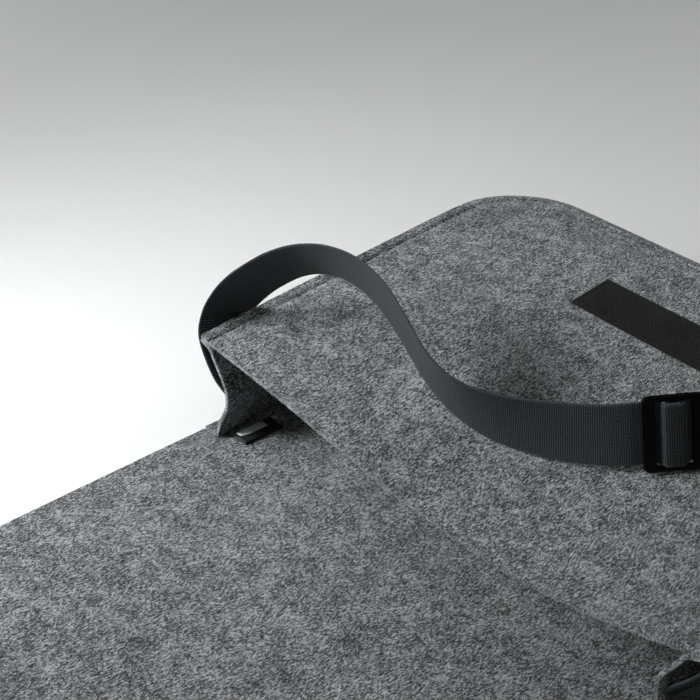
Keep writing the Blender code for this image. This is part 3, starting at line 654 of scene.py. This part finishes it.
r_end = CORNER_R + FLAP_HALF - HALF_W
ys_rear = list(np.arange(Y_CUT, -HALF_D - 8, 5.0)) + list(np.arange(-HALF_D - 8, -HALF_D + 8, 1.0)) + \
    list(np.arange(-HALF_D + 8, Y_END - r_end - 1, 7.0)) + arc_ys(Y_END - r_end, Y_END, r_end, True)
H2 = -HALF_D - SPINE
ys_front = arc_ys(Y_FAR + FLAP_R, Y_FAR, FLAP_R, True)[::-1]
ys_front = ys_front[:-1] + list(np.arange(Y_FAR + FLAP_R, H2 - 8, 6.0)) + list(np.arange(H2 - 8, H2 + 8, 1.0)) + \
    list(np.arange(H2 + 8, Y_CUT - 1, 5.0)) + [Y_CUT]
rear = felt_sheet("felt_back_sheet", ys_rear)
fore = felt_sheet("felt_flap_sheet", ys_front)
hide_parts("back_panel", "flap_spine")
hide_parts("flap_cover")
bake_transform(rear)
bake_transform(fore)

# ================================================================== front panel
def lip_z_drop(t):
    """the stitch line pulls the felt down beside the lip"""
    return 1.65 * math.exp(-((t + 0.2) / 1.3) ** 2)


ys = [-HALF_D + MOUTH_IN + SIDE * (i / 46) ** 1.25 for i in range(46)]
ys += [HALF_D - CORNER_R + CORNER_R * math.sin(math.pi / 2 * i / 15) for i in range(16)]
rows = []
insets = [0.0, 0.8, 1.7, 2.8, 4.4]
for y in ys:
    h = row_half(y)
    inner = [(h - 7.0) * math.sin(math.pi / 2 * u) * 0.35 + (h - 7.0) * u * 0.65 for u in np.linspace(-1, 1, 57)]
    xs = [-h + i for i in insets] + inner + [h - i for i in reversed(insets)]
    row = []
    for x in xs:
        d = min(h - abs(x), (HALF_D - y) if abs(x) < HALF_W - CORNER_R else 99)
        if abs(x) >= HALF_W - CORNER_R and y > HALF_D - CORNER_R:
            d = CORNER_R - math.hypot(abs(x) - (HALF_W - CORNER_R), y - (HALF_D - CORNER_R))
        p = (x, y, 0)
        lump = wobble(p, 38, 1.1, 2.0) - 0.55 + wobble(p, 12, 0.3, 9.0)
        lump *= min(1.0, max(0.0, d) / 12)
        row.append((x, y, float(panel_top(x, y)) - FELT / 2 + lump - lip_z_drop(-d)))
    rows.append(row)
m = len(rows[0])
V = [p for r in rows for p in r]
F = grid_faces(len(rows), m)
bound = [r[0] for r in rows] + list(rows[-1][1:-1]) + [r[-1] for r in reversed(rows)]
base = len(V)
ts = [0.7, 1.5, 2.3, 3.2, 4.2, 5.3, 6.4, LIP]
for p in bound:
    s = seam_param(p[0], p[1])
    V.append(p)
    for tt in ts:
        q = lip_point(s, tt, 1)
        V.append((q[0], q[1], q[2] - lip_z_drop(tt) + 0.15 * noise.noise(Vector((s / 11, 0.3, 0)))))
k = len(ts) + 1
for i in range(len(bound) - 1):
    for j in range(k - 1):
        F.append((base + i * k + j, base + i * k + j + 1, base + (i + 1) * k + j + 1, base + (i + 1) * k + j))
panel = thick(tidy(add_object("felt_front_sheet", V, F, FELT_MAT)), FELT, 0.6, 3)
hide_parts("front_panel")
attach(panel, "bag")

# ================================================================== gusset
WALL_Z0 = FELT + GAP + FELT / 2


def gusset_section(s):
    x, y, nx, ny = seam(s)
    zc = float(crease_z(y))
    inside = abs(nx) if abs(nx) > 0.999 else 0.0
    sec = []

    def at(d, z):
        return (x + nx * d, y + ny * d, z)

    def wall(z):
        soft = noise.noise(Vector((s / 42, z / 30, 4.0))) * 0.9 * math.sin(math.pi * min(1, max(0, z / zc)))
        return -FELT / 2 - (float(bow(y, z)) * inside) + soft

    for d in (LIP, LIP * 0.75, LIP * 0.5, LIP * 0.25):
        sec.append(at(d, WALL_Z0 + 0.1 * noise.noise(Vector((s / 12, d, 0)))))
    sec.append(at(wall(6) + 2.6, WALL_Z0 + 0.1))
    sec.append(at(wall(7) + 1.2, WALL_Z0 + 0.7))
    sec.append(at(wall(8) + 0.4, WALL_Z0 + 1.9))
    top = zc - FELT - GAP - FELT / 2
    for z in np.linspace(11.5, top - 5.5, 22):
        sec.append(at(wall(z), z))
    sec.append(at(wall(top - 2), top - 2.3))
    p = lip_point(s, 1.9, -1)
    sec.append(((x + nx * -0.1), (y + ny * -0.1), (top - 2.3) * 0.3 + p[2] * 0.7))
    sec.append(p)
    for tt in (3.0, 4.2, 5.3, 6.4, LIP):
        sec.append(lip_point(s, tt, -1))
    return sec


secs = [gusset_section(s) for s in seam_stations(40, 14, 14)]
V = [p for r in secs for p in r]
gusset = thick(tidy(add_object("felt_gusset_sheet", V, grid_faces(len(secs), len(secs[0])), FELT_MAT)), FELT - 0.1, 0.6, 3)
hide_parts("gusset")
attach(gusset, "bag")

# ================================================================== seam stitching
path, ups = [], []
for s in np.linspace(1.0, TOTAL - 1.0, 420):
    a, c = np.array(lip_point(s, 2.4, 1)), np.array(lip_point(s, 5.0, 1))
    e = (c - a) / np.linalg.norm(c - a)
    up = np.array((0, 0, 1.0))
    n = up - e * (e @ up)
    n = n / np.linalg.norm(n)
    a[2] -= lip_z_drop(2.4)
    path.append(a + n * (FELT / 2))
    ups.append(n)
row = stitches("front_seam_stitches", path, ups, THREAD_MAT, lift=-0.12)
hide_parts("front_seam_thread")
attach(row, "bag")
path = []
for s in np.linspace(2.5, TOTAL - 2.5, 300):
    x, y, nx, ny = seam(s)
    path.append((x + nx * 4.6, y + ny * 4.6, WALL_Z0 + FELT / 2))
row = stitches("back_seam_stitches", path, [(0, 0, 1)] * len(path), THREAD_MAT, lift=0.1)
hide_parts("back_seam_thread")
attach(row, "bag")

# ================================================================== hook and loop tapes
def tape_grid(x0, x1, y0, y1, nx, ny, zf):
    V, UV = [], []
    for y in np.linspace(y0, y1, ny):
        for x in np.linspace(x0, x1, nx):
            V.append((x, y, zf(x, y)))
            UV.append((x, (y - (y0 + y1) / 2)))
    return V, UV


def tiny_tubes(paths, r):
    """many small bent filaments, three-sided"""
    V, F = [], []
    for P in paths:
        P = np.array(P)
        base = len(V)
        for i in range(len(P)):
            q = P[min(i + 1, len(P) - 1)] - P[max(i - 1, 0)]
            q = q / np.linalg.norm(q)
            a = np.cross(q, (0.31, 0.93, 0.17))
            a = a / np.linalg.norm(a)
            c = np.cross(q, a)
            for k in range(3):
                g = 2 * math.pi * k / 3
                V.append(P[i] + r * (a * math.cos(g) + c * math.sin(g)))
        for i in range(len(P) - 1):
            for k in range(3):
                F.append((base + i * 3 + k, base + i * 3 + (k + 1) % 3, base + (i + 1) * 3 + (k + 1) % 3, base + (i + 1) * 3 + k))
        F.append((base + (len(P) - 1) * 3, base + (len(P) - 1) * 3 + 1, base + (len(P) - 1) * 3 + 2))
    return V, F


def panel_mid(x, y):
    return float(panel_top(x, y)) + GAP + 0.1


V, UV = tape_grid(-STRIP_HALF_L, STRIP_HALF_L, STRIP_Y - STRIP_HALF_W, STRIP_Y + STRIP_HALF_W, 63, 19,
                  lambda x, y: panel_mid(x, y) + 0.45)
hook = add_object("hook_tape", V, grid_faces(19, 63), HOOK_BASE, UV)
thick(hook, 0.9, 0.25, 2)
rng = np.random.default_rng(4)
paths = []
for i, x in enumerate(np.arange(-STRIP_HALF_L + 4.2, STRIP_HALF_L - 4.0, 1.45)):
    for j, y in enumerate(np.arange(STRIP_Y - STRIP_HALF_W + 4.2, STRIP_Y + STRIP_HALF_W - 4.0, 1.55)):
        x1, y1 = x + rng.uniform(-0.2, 0.2), y + rng.uniform(-0.2, 0.2)
        z = panel_mid(x1, y1) + 0.85
        g = rng.uniform(-0.35, 0.35) + (0 if j % 2 else math.pi)
        c, s = math.cos(g), math.sin(g)
        paths.append([(x1 + c * a, y1 + s * a, z + h) for a, h in ((0, 0), (0, 0.55), (0.16, 0.85), (0.45, 0.86), (0.6, 0.55))])
V, F = tiny_tubes(paths, 0.19)
hooks = add_object("hook_field", V, F, HOOK_MAT)
path = [(dx, STRIP_Y + dy, panel_mid(dx, STRIP_Y + dy) + 0.95) for dx, dy in box_loop(STRIP_HALF_L - 2.3, STRIP_HALF_W - 2.3, 40, 12, 0)]
row = stitches("hook_tape_stitches", path, [(0, 0, 1)] * len(path), BLACK_THREAD, pitch=3.0, length=2.5, r=0.28, closed=True)
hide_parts("hook_strip")
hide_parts("hook_strip_thread")
for o, sl in ((hook, "hook_tape"), (hooks, "hook_tape"), (row, "thread")):
    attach(o, "bag")

LOOP_Y = -HALF_D - SPINE - 210.7
V, UV = tape_grid(-STRIP_HALF_L, STRIP_HALF_L, LOOP_Y - STRIP_HALF_W, LOOP_Y + STRIP_HALF_W, 33, 11,
                  lambda x, y: FELT + 0.6 + 0.5)
loop = add_object("loop_tape", V, grid_faces(11, 33), HOOK_BASE, UV)
thick(loop, 0.9, 0.25, 2)
paths = []
for x in np.arange(-STRIP_HALF_L + 5.8, STRIP_HALF_L - 5.6, 1.3):
    for y in np.arange(LOOP_Y - STRIP_HALF_W + 5.8, LOOP_Y + STRIP_HALF_W - 5.6, 1.2):
        x1, y1, g = x + rng.uniform(-0.5, 0.5), y + rng.uniform(-0.5, 0.5), rng.uniform(0, 2 * math.pi)
        c, s, w = math.cos(g), math.sin(g), rng.uniform(0.5, 0.9)
        z = FELT + 1.5
        paths.append([(x1 + c * a * w, y1 + s * a * w, z + h) for a, h in ((-0.8, 0), (-0.7, 0.35), (0, 0.62), (0.7, 0.35), (0.8, 0))])
V, F = tiny_tubes(paths, 0.12)
pile = add_object("loop_pile_field", V, F, LOOP_MAT)
path = [(dx, LOOP_Y + dy, FELT + 1.6) for dx, dy in box_loop(STRIP_HALF_L - 4.5, STRIP_HALF_W - 4.5, 30, 8, 0)]
row = stitches("loop_tape_stitches", path, [(0, 0, 1)] * len(path), BLACK_THREAD, pitch=3.0, length=2.5, r=0.28, closed=True)
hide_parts("loop_strip")
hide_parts("loop_strip_thread")
for o, sl in ((loop, "loop_tape"), (pile, "loop_tape"), (row, "thread")):
    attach(o, "flap_cover")

# ================================================================== webbing
Y_TOP, Y_LOW = -135.5, -98.0


def sewn(sign, z):
    return (gusset_side(Y_TOP, z, sign, OFF_WEB), gusset_side(Y_LOW, z, sign, OFF_WEB))


SEWN_Z = [SEWN_LOW + (SEWN_TOP - SEWN_LOW) * i / 4 for i in range(5)]
left_st = [sewn(-1, z) for z in SEWN_Z]
left_st += [(np.array(a), np.array(b)) for a, b in LEFT_RUN]
left_free = len(left_st)
BEHIND, FRONT = -(SL_T / 2 + 0.45 + WEB_T / 2), 1.2 + 0.3 + WEB_T + 0.35 + WEB_T / 2
for h, n in ((-8.5, BEHIND - 0.5), (-2, BEHIND), (4, BEHIND), (8.0, BEHIND)):
    left_st.append(on_slider(h, n))
for h, n in ((9.3, BEHIND + 1.1), (12.6, FRONT - 1.1), (14.0, FRONT), (21.5, FRONT), (22.9, FRONT - 1.1),
             (26.2, BEHIND + 1.1), (27.4, BEHIND), (34, BEHIND)):
    left_st.append(on_slider(h, n))
RETURN = BEHIND - WEB_T - 0.5
tail_run = offset_run([on_slider(40, RETURN), on_slider(50, RETURN)] + list(RIGHT_RUN[:5]), -RETURN + BEHIND)
left_st += tail_run[0:6]
right_st = [on_slider(h, n) for h, n in (
    (24.4, -2.6), (22.6, -2.5), (21.6, -1.5), (21.45, 0.0), (21.1, 1.4), (19.9, 2.25), (15.6, 2.25),
    (14.4, 1.4), (14.05, 0.0), (14.05, -2.9), (14.6, -4.2), (15.8, RETURN), (20.0, RETURN), (27.0, RETURN),
    (34.0, RETURN), (40.0, RETURN), (50.0, RETURN))]
right_st += [(np.array(a), np.array(b)) for a, b in RIGHT_RUN]
right_st += [sewn(1, z) for z in reversed(SEWN_Z)]


def ribbon(name, stations, per, mat):
    """webbing with a slightly crowned section and soft woven edges"""
    A = np.array(spline([s[0] for s in stations], per))
    B = np.array(spline([s[1] for s in stations], per))
    C = (A + B) / 2
    W = (B - A) / np.linalg.norm(B - A, axis=1)[:, None]
    T = np.gradient(C, axis=0)
    T = T - W * np.sum(T * W, axis=1)[:, None]
    T /= np.linalg.norm(T, axis=1)[:, None]
    N = np.cross(W, T)
    L = np.concatenate([[0], np.cumsum(np.linalg.norm(np.diff(C, axis=0), axis=1))])
    top = [(w, WEB_T / 2 - (0.12 if abs(w) > 17.3 else 0.0)) for w in np.linspace(-WEB_HALF + 0.45, WEB_HALF - 0.45, 21)]
    sec = top + [(WEB_HALF - 0.1, WEB_T / 4), (WEB_HALF, 0.0), (WEB_HALF - 0.1, -WEB_T / 4)] + [(w, -n) for w, n in reversed(top)] + \
        [(-WEB_HALF + 0.1, -WEB_T / 4), (-WEB_HALF, 0.0), (-WEB_HALF + 0.1, WEB_T / 4)]
    V, UV = [], []
    for i in range(len(C)):
        for w, n in sec:
            V.append(C[i] + W[i] * w + N[i] * n)
            UV.append((L[i], w))
    m = len(sec)
    F = grid_faces(len(C), m, True)
    F.append(tuple(reversed(range(m))))
    F.append(tuple((len(C) - 1) * m + j for j in range(m)))
    ob = add_object(name, V, F, mat, UV)
    bm = bmesh.new()
    bm.from_mesh(ob.data)
    bmesh.ops.recalc_face_normals(bm, faces=bm.faces)
    bm.to_mesh(ob.data)
    bm.free()
    return ob


CUT_Z = 0.0788


def part_webbing(ob, name, edge_x, sign):
    """part the sewn-on lower length from the free one, exactly at the height that stays put when the strap goes flat"""
    low = ob.copy()
    low.data = ob.data.copy()
    low.name = low.data.name = name
    scene.collection.objects.link(low)
    for o, keep_low in ((ob, False), (low, True)):
        bm = bmesh.new()
        bm.from_mesh(o.data)
        side = [f for f in bm.faces if sign * f.calc_center_median().x > edge_x]
        geom = list({v for f in side for v in f.verts}) + list({e for f in side for e in f.edges}) + side
        bmesh.ops.bisect_plane(bm, geom=geom, plane_co=(0, 0, CUT_Z), plane_no=(0, 0, 1), dist=1e-7)
        is_low = [f for f in bm.faces if sign * f.calc_center_median().x > edge_x and f.calc_center_median().z < CUT_Z]
        drop = is_low if not keep_low else [f for f in bm.faces if f not in set(is_low)]
        bmesh.ops.delete(bm, geom=drop, context='FACES')
        bm.to_mesh(o.data)
        bm.free()
    return low


for st, name, cadn, edge_x, sign in ((left_st, "strap_left_webbing", "strap_left", 0.17, -1), (right_st, "strap_right_webbing", "strap_right", 0.185, 1)):
    web = ribbon(name, st, 6, WEB_MAT)
    low = part_webbing(web, name + "_sewn_end", edge_x, sign)
    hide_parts(cadn)
    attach(low, "bag")
    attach(web, "bag")
    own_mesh(web)


def sewn_path(sign):
    path, ups = [], []
    zc, hz = (SEWN_LOW + 2.5 + SEWN_TOP - 5) / 2, (SEWN_TOP - 5 - SEWN_LOW - 2.5) / 2
    loop = box_loop(WEB_HALF - 2.5, hz, 16, 8, 0)
    diag = [(-(WEB_HALF - 2.5) + 2 * (WEB_HALF - 2.5) * i / 14, -hz + 2 * hz * i / 14) for i in range(15)]
    out = []
    for pts in (loop + loop[:1], diag, [(a, -c) for a, c in diag]):
        path, ups = [], []
        for dw, dz in pts:
            a, c = sewn(sign, zc + dz)
            a2, c2 = sewn(sign, zc + dz + 0.5)
            mid, w = (a + c) / 2, (c - a) / np.linalg.norm(c - a)
            mid2, w2 = (a2 + c2) / 2, (c2 - a2) / np.linalg.norm(c2 - a2)
            p = mid + w * dw
            n = np.cross(w, mid2 + w2 * dw - p)
            n = n / np.linalg.norm(n)
            n = -n if n[0] * sign < 0 else n
            path.append(p + n * (WEB_T / 2))
            ups.append(n)
        out.append((path, ups))
    return out


for sign, side in ((-1, "left"), (1, "right")):
    for i, (path, ups) in enumerate(sewn_path(sign)):
        row = stitches("strap_%s_stitches_%d" % (side, i + 1), path, ups, BLACK_THREAD, pitch=2.9, length=2.4, r=0.3, lift=0.1)
        if i == 0:
            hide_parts("strap_%s_thread" % side)
        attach(row, "bag")

for j, hh in enumerate((22.9, 20.4)):
    path = [SL_O + SL_H * hh + SL_W * w + SL_N * (RETURN - WEB_T / 2) for w in np.linspace(-16.5, 16.5, 20)]
    row = stitches("slider_loop_stitches_%d" % (j + 1), path, [-SL_N] * 20, BLACK_THREAD, pitch=2.6, length=2.1, r=0.28, lift=0.1)
    if j == 0:
        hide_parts("slider_loop_thread")
    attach(row, "strap_slider")

# ================================================================== slider
WIN = 19.6
hs = [0, BAR, BAR + SLOT, BAR + SLOT + MID_BAR, BAR + 2 * SLOT + MID_BAR, SL_LEN]
ws = [-SL_HALF, -WIN, WIN, SL_HALF]
bm = bmesh.new()
gv = {}


def gvert(i, j, lvl):
    key = (i, j, lvl)
    if key not in gv:
        n = {0: -SL_T / 2, 1: SL_T / 2, 2: -1.2, 3: 1.2}[lvl]
        p = np.array((hs[i], ws[j], n), float)
        gv[key] = bm.verts.new(tuple(p))
    return gv[key]


cells = [(i, j) for i in range(5) for j in range(3) if not (j == 1 and i in (1, 3))]
for i, j in cells:
    lo, hi = (2, 3) if (i, j) == (2, 1) else (0, 1)
    a = [gvert(i, j, hi), gvert(i + 1, j, hi), gvert(i + 1, j + 1, hi), gvert(i, j + 1, hi)]
    c = [gvert(i, j, lo), gvert(i, j + 1, lo), gvert(i + 1, j + 1, lo), gvert(i + 1, j, lo)]
    bm.faces.new(a)
    bm.faces.new(c)
for i, j in cells:
    lo, hi = (2, 3) if (i, j) == (2, 1) else (0, 1)
    for (di, dj, e0, e1) in ((-1, 0, (i, j), (i, j + 1)), (1, 0, (i + 1, j + 1), (i + 1, j)), (0, -1, (i + 1, j), (i, j)), (0, 1, (i, j + 1), (i + 1, j + 1))):
        nb = (i + di, j + dj)
        if nb in cells:
            if (i, j) == (2, 1):
                continue
            if nb == (2, 1):
                for l0, l1 in ((1, 3), (2, 0)):
                    bm.faces.new((gvert(*e0, l0), gvert(*e1, l0), gvert(*e1, l1), gvert(*e0, l1)))
            continue
        bm.faces.new((gvert(*e0, hi), gvert(*e1, hi), gvert(*e1, lo), gvert(*e0, lo)))
bmesh.ops.recalc_face_normals(bm, faces=bm.faces)
corner = [e for e in bm.edges if all(abs(abs(v.co.y) - SL_HALF) < 1e-4 and min(abs(v.co.x), abs(v.co.x - SL_LEN)) < 1e-4 for v in e.verts)
          and abs(e.verts[0].co.z - e.verts[1].co.z) > 1]
bmesh.ops.bevel(bm, geom=corner, offset=5.5, segments=9, profile=0.5, affect='EDGES')
for v in bm.verts:
    h, w, n = v.co
    n *= 1 + 0.05 * math.cos(math.pi * w / SL_HALF)          # a moulded bar is a touch fuller in its middle
    v.co = tuple((SL_O + SL_H * h + SL_W * w + SL_N * n) * MM)
me = bpy.data.meshes.new("slider_frame")
bm.to_mesh(me)
bm.free()
me.materials.append(PLASTIC)
slider = bpy.data.objects.new("slider_frame", me)
scene.collection.objects.link(slider)
bv = slider.modifiers.new("edge", 'BEVEL')
bv.width = 0.75 * MM
bv.segments = 4
bv.limit_method = 'ANGLE'
bv.angle_limit = math.radians(35)
bv.use_clamp_overlap = True
bake(slider)
slider.data.polygons.foreach_set("use_smooth", [True] * len(slider.data.polygons))
wn = slider.modifiers.new("shade", 'WEIGHTED_NORMAL')
wn.keep_sharp = True
bake(slider)
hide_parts("strap_slider")
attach(slider, "strap_slider")

# ================================================================== label
LX0, LX1, LY0, LY1 = -180.0, -165.5, -131.5, -102.0
prof = [(LY1 + 1.5, 3.35), (LY1, 3.5), ((LY0 + LY1) / 2, 3.9), (LY0 + 2, 4.1), (LY0 + 0.9, 4.25), (LY0 + 0.3, 4.75), (LY0 + 0.9, 5.3), (LY0 + 2, 5.5),
        ((LY0 + LY1) / 2, 5.2), (LY1, 4.6), (LY1 + 1.5, 4.0)]
prof = spline([np.array((y, z, 0.0)) for y, z in prof], 5)
V, UV, L = [], [], 0.0
for i, p in enumerate(prof):
    L += 0 if i == 0 else float(np.linalg.norm(p - prof[i - 1]))
    for x in np.linspace(LX0, LX1, 11):
        lift = 0.25 * math.sin((x - LX0) / (LX1 - LX0) * math.pi) * (1 if p[1] > 4.4 else 0)
        V.append((x, p[0], p[1] + lift))
        UV.append((L, x - (LX0 + LX1) / 2))
label = add_object("label_tape", V, grid_faces(len(prof), 11), LABEL_MAT, UV)
thick(label, 0.42, 0.0)
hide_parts("label")
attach(label, "bag")
# blank pale patch on it, where the real one is printed
px0, px1, py0, py1 = LX0 + 1.2, LX0 + 8.6, LY0 + 1.6, LY1 - 5.5
out = [(px0 + 1.6, py0), (px1 - 1.6, py0), (px1, py0 + 5.0), (px1, py1), (px0, py1), (px0, py0 + 5.0)]


def label_z(x, y):
    k = (y - LY0) / (LY1 - LY0)
    return 5.5 - 0.9 * max(0.0, k - 0.08) * 1.0 + 0.25 * math.sin((x - LX0) / (LX1 - LX0) * math.pi) + 0.62


V = []
for ky in np.linspace(0, 1, 9):
    y = py0 + (py1 - py0) * ky
    tk = min(1.0, (y - py0) / 5.0)
    xa, xb = px0 + 1.6 * (1 - tk), px1 - 1.6 * (1 - tk)
    for kx in np.linspace(0, 1, 5):
        x = xa + (xb - xa) * kx
        V.append((x, y, label_z(x, y)))
patch = add_object("label_patch", V, grid_faces(9, 5), PATCH_MAT)
thick(patch, 0.14, 0.0)
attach(patch, "bag")
row = stitches("label_stitches", [(x, LY1 - 1.8, 4.95) for x in np.linspace(LX0 + 1, LX1 - 1, 10)], [(0, 0, 1)] * 10, BLACK_THREAD,
               pitch=2.4, length=1.9, r=0.24, lift=0.05)
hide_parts("label_thread")
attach(row, "bag")

bpy.context.view_layer.update()
